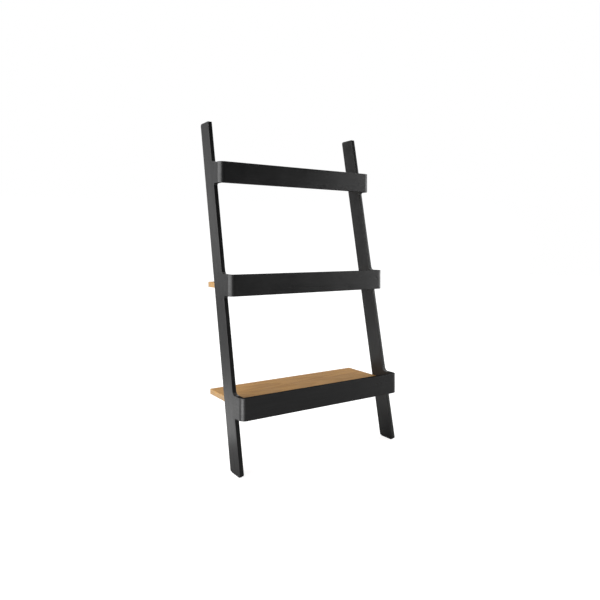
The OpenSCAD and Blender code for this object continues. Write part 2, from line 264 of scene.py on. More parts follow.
def eased_levels(thickness, ease):
    """Rows from one face of a slab to the other, as (how far in, how deep, how rounded).

    At angle t a rounded edge lies 1 - cos t of its ease in from the side, and 1 - sin t of its
    ease in from the face. How rounded is sin 2t, which is 0 on the flats.
    """
    t = np.linspace(math.pi / 2, 0.0, EASE_STEPS + 1)
    inward = np.concatenate([[1.0 + SUPPORT / ease], 1 - np.cos(t)])
    deep = np.concatenate([[0.0], ease * (1 - np.sin(t))])
    worn = np.concatenate([[0.0], np.sin(2 * t)])
    return (
        np.concatenate([inward, inward[::-1]]),
        np.concatenate([deep, thickness - deep[::-1]]),
        np.concatenate([worn, worn[::-1]]),
    )


def slab(corners, radii, eases, thickness):
    """Surface of a slab with rounded corners and eased edges, in rings of (x, y, depth).

    Ring k is the rounded outline of the corners moved in by that level's share of the ease, at
    that level's depth. A full corner's radius shrinks as it moves in and a hollow one's grows.
    """
    ease = eases.max()
    inward, deep, worn = eased_levels(thickness, ease)
    u = np.roll(corners, 1, axis=0) - corners
    v = np.roll(corners, -1, axis=0) - corners
    side = -np.sign(cross(u, v))
    least = np.minimum(eases, np.roll(eases, 1))
    rings = []
    for w, d in zip(inward, deep):
        r = np.maximum(radii - side * w * least, radii * LEAST_RADIUS)
        flat = rounded(moved_in(corners, eases, w), r)
        rings.append(np.column_stack([flat, np.full(len(flat), d)]))
    return np.array(rings), worn[:, None] * np.ones(len(rings[0]))


def skin(name, rings, grain, edge):
    """A closed mesh over rings of points: four-sided faces between rings and one face on each end.

    Point i of ring k joins point i + 1 of its ring and the same two of ring k + 1. The grain
    attribute holds where each point lies in the wood, and edge how rounded the surface is there.
    """
    count, around = rings.shape[:2]
    k = np.arange(count - 1)[:, None] * around
    i = np.arange(around)
    j = (i + 1) % around
    sides = np.stack([k + i, k + j, k + around + j, k + around + i], axis=-1).reshape(-1, 4)
    ends = [i[::-1].tolist(), (i + (count - 1) * around).tolist()]
    mesh = bpy.data.meshes.new(name)
    mesh.from_pydata(rings.reshape(-1, 3).tolist(), [], sides.tolist() + ends)
    places = mesh.attributes.new("grain", "FLOAT_VECTOR", "POINT").data
    places.foreach_set("vector", grain.astype(np.float32).ravel())
    roundness = mesh.attributes.new("edge", "FLOAT", "POINT").data
    roundness.foreach_set("value", edge.astype(np.float32).ravel())
    mesh.shade_smooth()
    mesh.update()
    piece = bpy.data.objects.new(name, mesh)
    bpy.context.scene.collection.objects.link(piece)
    return piece


def settle(piece, node, material):
    """Puts a finished piece in its CAD node's place on the body and material."""
    piece.data.materials.append(material)
    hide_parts(node)
    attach(piece, BODY)


def matt_edges(piece, cut, material):
    """Gives a second finish to the cut edges: one flag for each face between two rings."""
    piece.data.materials.append(material)
    flags = np.concatenate([cut.ravel(), [False, False]]).astype(np.int32)
    piece.data.polygons.foreach_set("material_index", flags)


# ---- Pieces ----


def post_outline(shape):
    """Corners, radii and eases of a post in depth and height, anticlockwise as seen from the right.

    The front edge is a straight line that leans back by the lean. The back edge lies one post
    width behind it at the top and spreads evenly toward the foot. At each tier a nose reaches
    forward to the band's seam.
    """
    rise = math.tan(shape.lean)
    pad_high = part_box("left_foot_pad")[1]
    foot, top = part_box("left_post")[0].z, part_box("left_post")[1].z

    def spread(z):
        return shape.foot_spread * (1 - z / top)

    foot_front = pad_high.y + shape.pad_gap - shape.post_width - spread(foot)

    def front(z):
        return foot_front + (z - foot) * rise

    def back(z):
        return front(z) + shape.post_width + spread(z)

    sharp, blunt, ease = shape.sharp_corner, shape.blunt_corner, shape.ease
    rows = [
        (front(foot), foot, sharp, ease),
        (back(foot), foot, blunt, ease),
        (back(top), top, sharp, ease),
        (front(top), top, blunt, ease),
    ]
    for tier in TIERS:
        low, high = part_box(tier + "_band")
        rows += [
            (front(high.z), high.z, shape.nose_top, ease),
            (high.y, high.z, shape.seam_ease, shape.seam_ease),
            (high.y, low.z, shape.seam_ease, ease),
            (front(low.z), low.z, shape.nose_under, ease),
        ]
    rows = np.array(rows)
    return rows[:, :2], rows[:, 2], rows[:, 3]


def make_post(side, shape, material):
    """One post: the slab of its outline, with its depth along X and its grain along the lean."""
    low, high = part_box(side + "_post")
    corners, radii, eases = post_outline(shape)
    rings, edge = slab(corners, radii, eases, high.x - low.x)
    place = np.stack([low.x + rings[..., 2], rings[..., 0], rings[..., 1]], axis=-1)
    c, s = math.cos(shape.lean), math.sin(shape.lean)
    along = place[..., 1] * s + place[..., 2] * c
    across = place[..., 1] * c - place[..., 2] * s
    start = SIDES.index(side) * PLY_STEP
    grain = np.stack([along + start, across, place[..., 0]], axis=-1)
    piece = skin("post_" + side, place, grain, edge)
    settle(piece, side + "_post", material)


def band_path(low, high, bend, thickness):
    """The middle line of a band in plan, from the right seam round the front to the left seam.

    It comes with the outward direction at each point. The arms are straight, and each bend is a
    quarter circle whose radius is the bend's less half the thickness.
    """
    r = bend - thickness / 2
    t = np.linspace(0.0, -math.pi / 2, BEND_STEPS + 1)
    right = np.stack([high.x - bend + r * np.cos(t), low.y + bend + r * np.sin(t)], axis=-1)
    left = np.stack([-right[::-1, 0], right[::-1, 1]], axis=-1)
    out_right = np.stack([np.cos(t), np.sin(t)], axis=-1)
    out_left = np.stack([-out_right[::-1, 0], out_right[::-1, 1]], axis=-1)
    ahead = np.array([0.0, -1.0])
    level = np.array([-1.0, 0.0])
    line = np.concatenate([
        [right[0] - ahead * SUPPORT], right, [right[-1] + level * SUPPORT],
        [left[0] - level * SUPPORT], left, [left[-1] - ahead * SUPPORT],
    ])
    out = np.concatenate([
        [out_right[0]], out_right, [out_right[-1]],
        [out_left[0]], out_left, [out_left[-1]],
    ])
    return line, out


def make_band(tier, shape, material, edging):
    """One band: a rounded rectangle carried along its path, closed flat at both seams.

    A point of ring k lies at the path's point k, plus the outward vector times the profile's
    first part, at the height of its second part. Over the last few rings at a seam, angle t
    draws the profile in by 1 - sin t of the seam's ease and lies 1 - cos t of it from the end.
    """
    node = tier + "_band"
    low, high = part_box(node)
    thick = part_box("left_post")[1].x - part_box("left_post")[0].x
    line, out = band_path(low, high, shape.bend, thick)
    t = np.linspace(0.0, math.pi / 2, EASE_STEPS)[1:]
    ease = shape.seam_ease
    seam_in = ease * np.concatenate([[1.0], 1 - np.sin(t), [0.0]])
    seam_y = high.y - ease * np.concatenate([[0.0], 1 - np.cos(t), [1 + SUPPORT / ease]])
    start = np.stack([np.full(len(seam_y), high.x - thick / 2), seam_y], axis=-1)
    end = start[::-1] * [-1.0, 1.0]
    right = np.tile([1.0, 0.0], (len(start), 1))
    drawn = np.concatenate([seam_in, np.zeros(len(line)), seam_in[::-1]])
    line = np.concatenate([start, line, end])
    out = np.concatenate([right, out, -right])
    steps = np.linalg.norm(np.diff(line, axis=0), axis=-1)
    run = np.concatenate([[0.0], np.cumsum(steps)])
    half, mid = (high.z - low.z) / 2, (high.z + low.z) / 2
    wide = thick / 2
    box = np.array([[-wide, -half], [wide, -half], [wide, half], [-wide, half]])
    ones = np.ones(4)
    rings = []
    for p, n, d in zip(line, out, drawn):
        flat = rounded(moved_in(box, ones, d), ones * (shape.ease - d), EASE_STEPS)
        rings.append(np.column_stack([p + flat[:, :1] * n, mid + flat[:, 1]]))
    rings = np.array(rings)
    flat = rounded(box, ones * shape.ease, EASE_STEPS)
    bow = np.concatenate([[0.0], np.sin(np.linspace(0.0, math.pi, EASE_STEPS + 1)), [0.0]])
    edge = np.tile(np.tile(bow, 4), (len(rings), 1))
    along = run + BAND_START + PLY_STEP * TIERS.index(tier)
    grain = np.stack([
        np.broadcast_to(along[:, None], edge.shape),
        np.broadcast_to(flat[:, 1], edge.shape),
        np.broadcast_to(flat[:, 0], edge.shape),
    ], axis=-1)
    piece = skin("band_" + tier, rings, grain, edge)
    settle(piece, node, material)
    height = np.abs(flat[:, 1] + np.roll(flat[:, 1], -1)) / 2
    cut = height > half - CUT_REACH * shape.ease
    matt_edges(piece, np.tile(cut, (len(rings) - 1, 1)), edging)


def make_board(tier, shape, material):
    """One board: the slab of its plan, which is a rectangle with rounded front corners."""
    node = tier + "_shelf"
    low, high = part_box(node)
    corners = np.array([[low.x, low.y], [high.x, low.y], [high.x, high.y], [low.x, high.y]])
    ease = shape.board_ease
    front, back = shape.board_corner, ease * BACK_CORNER
    radii = np.array([front, front, back, back])
    rings, edge = slab(corners, radii, np.full(4, ease), high.z - low.z)
    place = rings + [0.0, 0.0, low.z]
    start = BOARD_STEP * TIERS.index(tier)
    grain = place - [0.0, (low.y + high.y) / 2, low.z] + [start, 0.0, 0.0]
    settle(skin("board_" + tier, place, grain, edge), node, material)


# ---- Shader parts ----

# Bumps a metre in each noise: along the grain, across the face and through the thickness
GRAIN_WANDER = (2.2, 9.0, 9.0)
GRAIN_BROAD = (1.6, 38.0, 38.0)
GRAIN_PORES = (45.0, 1100.0, 1100.0)
WEAR_COARSE = (14.0, 40.0, 40.0)
WEAR_FINE = (160.0, 420.0, 420.0)
RING_SWAY = (1.9, 7.0, 7.0)
RING_RIPPLE = (14.0, 46.0, 46.0)
OAK_PORES = (55.0, 1500.0, 1500.0)
OAK_FLECKS = (28.0, 240.0, 90.0)
OAK_TINT = (1.6, 10.0, 10.0)
MOULD_PEEL = (900.0, 900.0, 900.0)
FLOOR_PATCHES = (3.0, 3.0, 3.0)


class Nodes:
    """Adds nodes to one node tree and joins them.

    A value may be a number, a row of numbers or a socket.
    """

    def __init__(self, tree):
        self.tree = tree

    def put(self, target, value):
        """Joins a socket to the target, or sets the target's own value."""
        if isinstance(value, bpy.types.NodeSocket):
            self.tree.links.new(value, target)
        else:
            target.default_value = value

    def add(self, kind, sockets=None, **settings):
        """A new node with its settings, and values or joins for its named or numbered sockets."""
        node = self.tree.nodes.new("ShaderNode" + kind)
        for key, value in settings.items():
            setattr(node, key, value)
        for key, value in (sockets or {}).items():
            self.put(node.inputs[key], value)
        return node

    def math(self, operation, *values):
        """The result of one Math node."""
        return self.add("Math", dict(enumerate(values)), operation=operation).outputs[0]

    def vector(self, operation, *values):
        """The result of one Vector Math node that gives a vector."""
        return self.add("VectorMath", dict(enumerate(values)), operation=operation).outputs[0]

    def scaled(self, value, by):
        """A vector times one number."""
        sockets = {0: value, "Scale": by}
        return self.add("VectorMath", sockets, operation="SCALE").outputs[0]

    def varied(self, chance, spread, middle):
        """The middle value moved by the spread times a chance, which is first centred on 0."""
        return self.math("MULTIPLY_ADD", self.math("SUBTRACT", chance, 0.5), spread, middle)

    def between(self, value, low, high, first=0.0, last=1.0):
        """The value taken from low..high to first..last, smooth and clamped."""
        sockets = {
            "Value": value, "From Min": low, "From Max": high, "To Min": first, "To Max": last,
        }
        return self.add("MapRange", sockets, interpolation_type="SMOOTHSTEP").outputs[0]

    def noise(self, place, stretch, detail=3.0, roughness=0.55, twist=0.0):
        """Noise with its own number of bumps a metre along each axis."""
        sockets = {
            "Vector": self.vector("MULTIPLY", place, stretch), "Scale": 1.0,
            "Detail": detail, "Roughness": roughness, "Distortion": twist,
        }
        return self.add("TexNoise", sockets).outputs[0]

    def blend(self, factor, first, second):
        """Two colours mixed by a factor."""
        node = self.add("Mix", data_type="RGBA")
        self.put(node.inputs[0], factor)
        for index, value in ((6, first), (7, second)):
            joined = isinstance(value, bpy.types.NodeSocket)
            self.put(node.inputs[index], value if joined else rgba(value))
        return node.outputs[2]

    def group(self, name, place, **sockets):
        """A shared shader group's outputs, at a place and with values for its other inputs."""
        node = self.add("Group")
        node.node_tree = shared(name)
        self.put(node.inputs["Place"], place)
        for key, value in sockets.items():
            self.put(node.inputs[key.capitalize()], value)
        return node.outputs

    def bump(self, height, distance, strength=1.0):
        """The normal of a surface raised by the height times the distance."""
        sockets = {"Height": height, "Distance": distance, "Strength": strength}
        return self.add("Bump", sockets).outputs[0]

    def attribute(self, name):
        """The outputs of one of a new piece's own attributes."""
        node = self.add("Attribute", attribute_type="GEOMETRY", attribute_name=name)
        return node.outputs

    def grain(self):
        """Where a new piece's point lies in its wood, and how rounded the surface is there."""
        return self.attribute("grain")["Vector"], self.attribute("edge")["Fac"]

    def place(self):
        """Where a point lies in the shelf's own frame, in metres."""
        return self.add("TexCoord").outputs["Object"]


def rgba(value):
    """A colour with full opacity."""
    return (*tuple(value)[:3], 1.0)


def shader_group(name, inputs, outputs):
    """An empty shader group, its input node's outputs and its output node's inputs."""
    tree = bpy.data.node_groups.new(name, "ShaderNodeTree")
    kinds = {"value": "NodeSocketFloat", "vector": "NodeSocketVector", "colour": "NodeSocketColor"}
    for label, (kind, default) in inputs.items():
        socket = tree.interface.new_socket(name=label, in_out="INPUT", socket_type=kinds[kind])
        if default is not None:
            socket.default_value = default
    for label, kind in outputs.items():
        tree.interface.new_socket(name=label, in_out="OUTPUT", socket_type=kinds[kind])
    entry = tree.nodes.new("NodeGroupInput")
    result = tree.nodes.new("NodeGroupOutput")
    return tree, entry.outputs, result.inputs


def long_grain_group():
    """Streaks and pores that run along X: noise squeezed across the grain and drawn out along it.

    Fine is how many streaks lie in a metre across, and draw how much longer than wide they are.
    Before that, the place is moved sideways by slow noise, so that the grain wanders.
    """
    wander_reach, fine_share = 0.012, 0.62
    inputs = {"Place": ("vector", None), "Fine": ("value", 220.0), "Draw": ("value", 30.0)}
    outputs = {"Streaks": "value", "Pores": "value"}
    tree, given, result = shader_group("Long grain", inputs, outputs)
    n = Nodes(tree)
    along = n.math("DIVIDE", given["Fine"], given["Draw"])
    stretch = n.add("CombineXYZ", {0: along, 1: given["Fine"], 2: given["Fine"]}).outputs[0]
    wander = n.noise(given["Place"], GRAIN_WANDER, detail=2.0)
    sideways = n.add("CombineXYZ", {1: wander, 2: wander}).outputs[0]
    bent = n.vector("ADD", given["Place"], n.scaled(sideways, wander_reach))
    fine = n.noise(bent, stretch, detail=5.0, roughness=0.62)
    broad = n.noise(bent, GRAIN_BROAD, detail=3.0)
    broad_part = n.math("MULTIPLY", broad, 1 - fine_share)
    both = n.math("MULTIPLY_ADD", fine, fine_share, broad_part)
    n.put(result["Streaks"], n.between(both, 0.36, 0.66))
    n.put(result["Pores"], n.between(n.noise(bent, GRAIN_PORES, detail=2.0), 0.60, 0.72))
    return tree


def edge_wear_group():
    """Rubbed edges: how rounded the surface is, broken up by coarse and fine noise."""
    inputs = {"Place": ("vector", None), "Edge": ("value", 0.0), "Amount": ("value", 0.5)}
    tree, given, result = shader_group("Edge wear", inputs, {"Worn": "value"})
    n = Nodes(tree)
    coarse = n.noise(given["Place"], WEAR_COARSE, detail=4.0, roughness=0.7)
    fine = n.noise(given["Place"], WEAR_FINE, detail=2.0)
    rub = n.math("MULTIPLY", given["Edge"], n.math("MULTIPLY_ADD", fine, 0.5, coarse))
    n.put(result["Worn"], n.math("MULTIPLY", n.between(rub, 0.45, 0.95), given["Amount"]))
    return tree


def cloud_group():
    """Soft uneven patches for sheen and dust, from low to high: broad and small noise added.

    Size is how wide the broad patches are. The small ones are that many times narrower.
    """
    times_narrower, small_share = 11.0, 0.35
    inputs = {
        "Place": ("vector", None), "Size": ("value", 0.08),
        "Low": ("value", 0.0), "High": ("value", 1.0),
    }
    tree, given, result = shader_group("Cloud", inputs, {"Value": "value"})
    n = Nodes(tree)
    place = n.scaled(given["Place"], n.math("DIVIDE", 1.0, given["Size"]))
    broad = n.add("TexNoise", {"Vector": place, "Scale": 1.0, "Detail": 3.0}).outputs[0]
    sockets = {"Vector": place, "Scale": times_narrower, "Detail": 2.0}
    small = n.add("TexNoise", sockets).outputs[0]
    broad_part = n.math("MULTIPLY", broad, 1 - small_share)
    mixed = n.math("MULTIPLY_ADD", small, small_share, broad_part)
    n.put(result["Value"], n.between(mixed, 0.32, 0.68, given["Low"], given["High"]))
    return tree


def oak_figure_group():
    """Growth rings, pores and flecks of glued oak staves, and a tint for each stave.

    A stave's number is its distance across divided by its width, rounded down. Its rings are
    shells round a pith line that lies under the board and slopes along it, so that they cut the
    face in long arches: a shell's size is the root of (distance aside squared plus depth squared),
    swayed by two noises. A ring's value climbs slowly through the early wood and drops at its end.
    """
    across_shift, along_shift = 2.0, 4.0
    pith_aside, pith_slope, slope_spread = 0.05, 0.022, 0.06
    pith_depth, depth_spread = 0.035, 0.03
    sway_reach, ripple_reach, climb_power = 0.021, 0.0022, 1.7
    inputs = {"Place": ("vector", None), "Stave": ("value", 0.092), "Ring": ("value", 0.0056)}
    outputs = {"Rings": "value", "Pores": "value", "Flecks": "value", "Tint": "value"}
    tree, given, result = shader_group("Oak figure", inputs, outputs)
    n = Nodes(tree)
    along, across, through = n.add("SeparateXYZ", {0: given["Place"]}).outputs
    shifted = n.math("ADD", across, across_shift)
    number = n.math("FLOOR", n.math("DIVIDE", shifted, given["Stave"]))
    chance = n.add("TexWhiteNoise", {"W": number}, noise_dimensions="1D").outputs
    lot = n.add("SeparateXYZ", {0: chance["Color"]}).outputs
    centre = n.math("MULTIPLY", n.math("ADD", number, 0.5), given["Stave"])
    middle = n.math("SUBTRACT", centre, across_shift)
    moved = n.math("MULTIPLY_ADD", lot[0], along_shift, along)
    own = n.add("CombineXYZ", {0: moved, 1: across, 2: through}).outputs[0]
    sway = n.noise(own, RING_SWAY, detail=3.0, roughness=0.5)
    ripple = n.noise(own, RING_RIPPLE, detail=3.0)
    aside = n.varied(lot[1], pith_aside, n.math("SUBTRACT", across, middle))
    slope = n.varied(lot[2], slope_spread, pith_slope)
    start = n.math("MULTIPLY_ADD", lot[1], depth_spread, pith_depth)
    depth = n.math("ADD", through, n.math("MULTIPLY_ADD", along, slope, start))
    squares = n.math("ADD", n.math("MULTIPLY", aside, aside), n.math("MULTIPLY", depth, depth))
    swayed = n.math("MULTIPLY_ADD", sway, sway_reach, n.math("SQRT", squares))
    shell = n.math("ADD", swayed, n.math("MULTIPLY", ripple, ripple_reach))
    phase = n.math("FRACT", n.math("DIVIDE", shell, given["Ring"]))
    climb = n.math("POWER", phase, climb_power)
    n.put(result["Rings"], n.math("MULTIPLY", climb, n.between(phase, 1.0, 0.90)))
    dashes = n.between(n.noise(own, OAK_PORES, detail=2.0), 0.57, 0.68)
    early_wood = n.between(phase, 0.75, 0.15, 0.25, 1.0)
    n.put(result["Pores"], n.math("MULTIPLY", dashes, early_wood))
    flecks = n.noise(own, OAK_FLECKS, detail=3.0, twist=0.6)
    n.put(result["Flecks"], n.between(flecks, 0.62, 0.76))
    stave_tint = n.math("MULTIPLY", lot[0], 0.5)
    n.put(result["Tint"], n.math("MULTIPLY_ADD", n.noise(own, OAK_TINT), 0.5, stave_tint))
    return tree


# Shader groups by name, each made on first use
GROUPS = {}
MAKERS = {
    "Long grain": long_grain_group,
    "Edge wear": edge_wear_group,
    "Cloud": cloud_group,
    "Oak figure": oak_figure_group,
}


def shared(name):
    """A shader group that is built once and used by several materials."""
    if name not in GROUPS:
        GROUPS[name] = MAKERS[name]()
    return GROUPS[name]


def surface(name, settings):
    """A new material's node helper and its shader, with the shader's plain values set on it."""
    material = bpy.data.materials.new(name)
    material.use_nodes = True
    tree = material.node_tree
    shader = tree.nodes["Principled BSDF"]
    for key, value in settings.items():
        shader.inputs[key].default_value = value
    return material, Nodes(tree), shader.inputs


# ---- Finishes ----


def black_stain(finish, name, gloss, rough):
    """Stained wood: fine streaks and pores show through, and the eased edges are rubbed.

    The roughness is the given one, plus 0.07 times (a half less the streaks), plus 0.12 times the
    pores, plus an uneven cloud. The pores lie below the surface and the streaks stand above it.
    """
    streak_shine, pore_dull, pore_stain = 0.07, 0.12, 0.6
    pore_depth, streak_height = 0.7, 0.6
    material, n, out = surface(name, {"IOR": 1.5, "Specular IOR Level": gloss})
    place, edge = n.grain()
    streaks, pores = n.group("Long grain", place, fine=190.0, draw=26.0)
    worn = n.group("Edge wear", place, edge=edge, amount=0.6)[0]
    cloud = n.group("Cloud", place, size=0.11, low=-0.05, high=0.06)[0]
    stain = n.blend(streaks, finish.black_deep, finish.black_high)
    stain = n.blend(n.math("MULTIPLY", pores, pore_stain), stain, finish.black_deep)
    n.put(out["Base Color"], n.blend(worn, stain, finish.black_worn))
    even = n.math("MULTIPLY_ADD", streaks, -streak_shine, rough + streak_shine / 2)
    n.put(out["Roughness"], n.math("MULTIPLY_ADD", pores, pore_dull, n.math("ADD", even, cloud)))
    raised = n.math("MULTIPLY", streaks, streak_height)
    relief = n.math("MULTIPLY_ADD", pores, -pore_depth, raised)
    n.put(out["Normal"], n.bump(relief, 0.00010, 0.8))
    return material


def black_lacquer(finish):
    """Satin lacquer on the posts and on the faces of the bands."""
    return black_stain(finish, "black_lacquer", 0.45, finish.black_sheen)


def black_edging(finish):
    """Matt paint on the cut edges of the bands."""
    return black_stain(finish, "black_edging", 0.02, finish.edge_sheen)


def oak(finish):
    """Oiled oak: arched rings, dashes of open pores, pale flecks and staves of different tint.

    How dark the wood is adds up from its rings, its streaks and its stave's tint. Faces that look
    along the grain are blended toward a paler, whiter colour: painted light and sheen on the end
    faces.
    """
    ring_dark, streak_dark, tint_dark, start_light = 0.50, 0.46, 0.46, 0.22
    fleck_light, pore_dark, painted_end_share = 0.22, 0.55, 0.75
    pore_dull, pore_depth, ring_height = 0.14, 0.8, 0.25
    material, n, out = surface("oiled_oak", {"IOR": 1.47, "Specular IOR Level": 0.25})
    place, edge = n.grain()
    rings, pores, flecks, tint = n.group("Oak figure", place)
    streaks = n.group("Long grain", place, fine=260.0, draw=34.0)[0]
    worn = n.group("Edge wear", place, edge=edge, amount=0.5)[0]
    cloud = n.group("Cloud", place, size=0.14, low=-0.05, high=0.05)[0]
    figure = n.math("MULTIPLY_ADD", rings, ring_dark, n.math("MULTIPLY", streaks, streak_dark))
    figure = n.math("SUBTRACT", figure, start_light)
    figure = n.math("MULTIPLY_ADD", tint, tint_dark, figure)
    wood = n.blend(figure, finish.oak_light, finish.oak_dark)
    wood = n.blend(n.math("MULTIPLY", flecks, fleck_light), wood, finish.oak_light)
    wood = n.blend(n.math("MULTIPLY", pores, pore_dark), wood, finish.oak_pore)
    flat_normal = n.add("NewGeometry").outputs["True Normal"]
    lengthwise = n.math("ABSOLUTE", n.add("SeparateXYZ", {0: flat_normal}).outputs[0])
    # Painted light: faces that look along the grain take a paler, whiter colour for the lamps on
    # the ends and their grazing sheen
    ends = n.between(lengthwise, 0.6, 0.9, 0.0, painted_end_share)
    wood = n.blend(ends, wood, n.blend(streaks, finish.oak_end_painted_light, finish.oak_light))
    n.put(out["Base Color"], n.blend(worn, wood, finish.oak_light))
    dull = n.math("MULTIPLY_ADD", pores, pore_dull, finish.oak_sheen)
    n.put(out["Roughness"], n.math("ADD", dull, cloud))
    raised = n.math("MULTIPLY", rings, ring_height)
    relief = n.math("MULTIPLY_ADD", pores, -pore_depth, raised)
    n.put(out["Normal"], n.bump(relief, 0.00012, 0.8))
    return material


def beech(finish):
    """Turned beech: short brown flecks along the dowels."""
    material, n, out = surface("turned_beech", {"IOR": 1.47})
    place = n.place()
    streaks, pores = n.group("Long grain", place, fine=420.0, draw=9.0)
    flecked = n.blend(n.math("MULTIPLY", streaks, 0.6), finish.beech_light, finish.beech_dark)
    n.put(out["Base Color"], n.blend(n.math("MULTIPLY", pores, 0.5), flecked, finish.beech_dark))
    n.put(out["Roughness"], n.group("Cloud", place, size=0.02, low=0.5, high=0.62)[0])
    n.put(out["Normal"], n.bump(streaks, 0.00005))
    return material


def metal(name, shade, dulled, low, high):
    """Bare metal: turning or casting marks, uneven sheen and faint dulling.

    In patches the shade is blended, by up to 0.35, toward itself times dulled. The roughness runs
    from low to high with the marks.
    """
    material, n, out = surface(name, {"Metallic": 1.0})
    place = n.place()
    marks, pits = n.group("Long grain", place, fine=900.0, draw=1.0)
    dull = n.group("Cloud", place, size=0.006, low=0.0, high=0.35)[0]
    n.put(out["Base Color"], n.blend(dull, shade, tuple(c * dulled for c in shade)))
    n.put(out["Roughness"], n.between(marks, 0.0, 1.0, low, high))
    n.put(out["Normal"], n.bump(n.math("SUBTRACT", marks, pits), 0.00002))
    return material


def moulded(name, shade, dusted, low, high, relief):
    """Moulded or coated surface: fine orange peel, uneven sheen and a light film of dust.

    With the dust the shade is blended toward itself times dusted, and the roughness runs from low
    to high. Relief is the height of the orange peel.
    """
    dust_share, least_dust = 0.35, 0.004
    material, n, out = surface(name, {"IOR": 1.48})
    place = n.place()
    peel = n.noise(place, MOULD_PEEL, detail=2.0)
    dust = n.group("Cloud", place, size=0.012, low=0.0, high=1.0)[0]
    dusty = tuple(min(1.0, c * dusted + least_dust) for c in shade)
    n.put(out["Base Color"], n.blend(n.math("MULTIPLY", dust, dust_share), shade, dusty))
    n.put(out["Roughness"], n.between(dust, 0.0, 1.0, low, high))
    n.put(out["Normal"], n.bump(peel, relief))
    return material


def made(name, make, finish):
    """The material of that name, made on first use."""
    return bpy.data.materials.get(name) or make(finish)


def paint(nodes, material):
    """Gives CAD nodes one finish in place of their plain one."""
    for name in nodes:
        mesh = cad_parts[name].data
        mesh.materials.clear()
        mesh.materials.append(material)


# ---- Operators ----


class SHELF_OT_posts(Operator):
    """Make the two posts"""

    bl_idname = "shelf.posts"
    bl_label = "Posts"

    def execute(self, context):
        material = made("black_lacquer", black_lacquer, context.scene.shelf_finish)
        for side in SIDES:
            make_post(side, context.scene.shelf_shape, material)
        return {"FINISHED"}


class SHELF_OT_bands(Operator):
    """Make the bent band of each tier"""

    bl_idname = "shelf.bands"
    bl_label = "Bands"

    def execute(self, context):
        material = made("black_lacquer", black_lacquer, context.scene.shelf_finish)
        edging = black_edging(context.scene.shelf_finish)
        for tier in TIERS:
            make_band(tier, context.scene.shelf_shape, material, edging)
        return {"FINISHED"}


class SHELF_OT_boards(Operator):
    """Make the oak board of each tier"""

    bl_idname = "shelf.boards"
    bl_label = "Boards"

    def execute(self, context):
        material = oak(context.scene.shelf_finish)
        for tier in TIERS:
            make_board(tier, context.scene.shelf_shape, material)
        return {"FINISHED"}


class SHELF_OT_dowels(Operator):
    """Finish the dowels in beech"""

    bl_idname = "shelf.dowels"
    bl_label = "Dowels"

    def execute(self, context):
        names = [tier + end for tier in TIERS for end in ("_band_dowels", "_shelf_dowels")]
        paint(names, beech(context.scene.shelf_finish))
        return {"FINISHED"}


class SHELF_OT_cams(Operator):
    """Finish the cam bolts, cam locks and caps"""

    bl_idname = "shelf.cams"
    bl_label = "Cams and caps"

    def execute(self, context):
        finish = context.scene.shelf_finish
        bolts = metal("turned_steel", finish.steel, dulled=0.7, low=0.18, high=0.34)
        locks = metal("cast_zinc", finish.zinc, dulled=0.6, low=0.36, high=0.55)
        caps = moulded("tan_caps", finish.cap, dusted=0.8, low=0.42, high=0.52, relief=0.00003)
        for tier in TIERS:
            paint([tier + "_cam_bolts"], bolts)
            paint([tier + "_cam_locks"], locks)
            paint([tier + "_cam_caps"], caps)
        return {"FINISHED"}


class SHELF_OT_feet(Operator):
    """Finish the foot pads and wall bumpers in rubber"""

    bl_idname = "shelf.feet"
    bl_label = "Pads and bumpers"

    def execute(self, context):
        shade = context.scene.shelf_finish.rubber
        soft = moulded("matt_rubber", shade, dusted=2.2, low=0.62, high=0.85, relief=0.00006)
        paint([side + end for side in SIDES for end in ("_foot_pad", "_wall_bumper")], soft)
        return {"FINISHED"}


class SHELF_OT_brackets(Operator):
    """Finish the wall brackets in powder coat and their screws in zinc"""

    bl_idname = "shelf.brackets"
    bl_label = "Wall brackets"

    def execute(self, context):
        finish = context.scene.shelf_finish
        coat = moulded(
            "powder_coat", finish.bracket, dusted=1.6, low=0.46, high=0.60, relief=0.00005
        )
        plate = metal("plated_screws", finish.zinc, dulled=0.7, low=0.26, high=0.42)
        paint([side + "_wall_bracket" for side in SIDES], coat)
        paint(["bracket_screws"], plate)
        return {"FINISHED"}


def studio_floor(studio):
    """A round floor: ring k of n lies at the radius times (k / n) squared, round a middle point."""
    around, count = 96, 12
    darkest = 0.985
    t = np.linspace(0.0, 2 * math.pi, around, endpoint=False)
    r = studio.floor_radius * (np.arange(1, count + 1) / count) ** 2
    x = np.outer(r, np.cos(t)).ravel()
    y = np.outer(r, np.sin(t)).ravel()
    verts = np.column_stack([x, y, np.zeros_like(x)])
    k = np.arange(count - 1)[:, None] * around
    i = np.arange(around)
    j = (i + 1) % around
    quads = np.stack([k + i, k + around + i, k + around + j, k + j], axis=-1).reshape(-1, 4)
    middle = len(verts)
    fan = np.stack([np.full(around, middle), i, j], axis=-1)
    mesh = bpy.data.meshes.new("studio_floor")
    mesh.from_pydata(verts.tolist() + [[0.0, 0.0, 0.0]], [], quads.tolist() + fan.tolist())
    floor = bpy.data.objects.new("studio_floor", mesh)
    bpy.context.scene.collection.objects.link(floor)
    material, n, out = surface("studio_floor", {"Roughness": 0.9, "Specular IOR Level": 0.1})
    patches = n.noise(n.place(), FLOOR_PATCHES, detail=2.0)
    dim = tuple(c * darkest for c in studio.floor_colour)
    n.put(out["Base Color"], n.blend(patches, studio.floor_colour, dim))
    n.put(out["Emission Color"], WHITE)
    seen = n.add("LightPath").outputs["Is Camera Ray"]
    n.put(out["Emission Strength"], n.math("MULTIPLY", seen, studio.floor_glow))
    mesh.materials.append(material)


